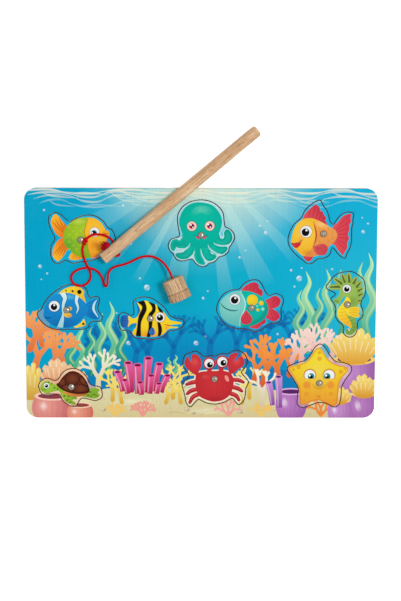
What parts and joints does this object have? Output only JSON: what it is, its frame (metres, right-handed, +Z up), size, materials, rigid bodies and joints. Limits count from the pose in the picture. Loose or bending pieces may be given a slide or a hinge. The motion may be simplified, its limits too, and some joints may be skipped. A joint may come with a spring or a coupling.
{
  "type": "magnetic fishing game",
  "caption": "Wooden fishing game: a board with cut-out sea creatures that carry steel screws, and a rod whose cord ends in a wooden magnet holder.",
  "frame": {"origin": "centre of the board's underside", "axes": "+X along the board's length, +Y across the board towards the edge that the rod's outer end reaches past, +Z up out of the printed face"},
  "size_m": [0.3, 0.2506, 0.0271],
  "materials": {
    "backing_plywood": "satin, bare",
    "printed_board": "printed and varnished, satin",
    "printed_green_fish": "printed and varnished, satin",
    "printed_octopus": "printed and varnished, satin",
    "printed_goldfish": "printed and varnished, satin",
    "printed_blue_fish": "printed and varnished, satin",
    "printed_striped_fish": "printed and varnished, satin",
    "printed_round_fish": "printed and varnished, satin",
    "printed_seahorse": "printed and varnished, satin",
    "printed_turtle": "printed and varnished, satin",
    "printed_crab": "printed and varnished, satin",
    "printed_starfish": "printed and varnished, satin",
    "screw_steel": "bright, rolled",
    "rod_beech": "fine sanded, bare",
    "holder_beech": "turned, bare",
    "cap_beech": "turned, bare",
    "magnet_metal": "ground",
    "cord_red": "braided",
    "knot_red": "braided, end frayed"
  },
  "bodies": {
    "root": {"base_board": "backing_plywood", "top_board": "printed_board", "green_fish": "printed_green_fish", "octopus": "printed_octopus", "goldfish": "printed_goldfish", "blue_fish": "printed_blue_fish", "striped_fish": "printed_striped_fish", "round_fish": "printed_round_fish", "seahorse": "printed_seahorse", "turtle": "printed_turtle", "crab": "printed_crab", "starfish": "printed_starfish", "screws": "screw_steel", "rod": "rod_beech", "cord": "cord_red", "rod_knot": "knot_red", "magnet_holder": "holder_beech", "holder_cap": "cap_beech", "magnet": "magnet_metal", "holder_knot": "knot_red"}
  },
  "joints": []
}
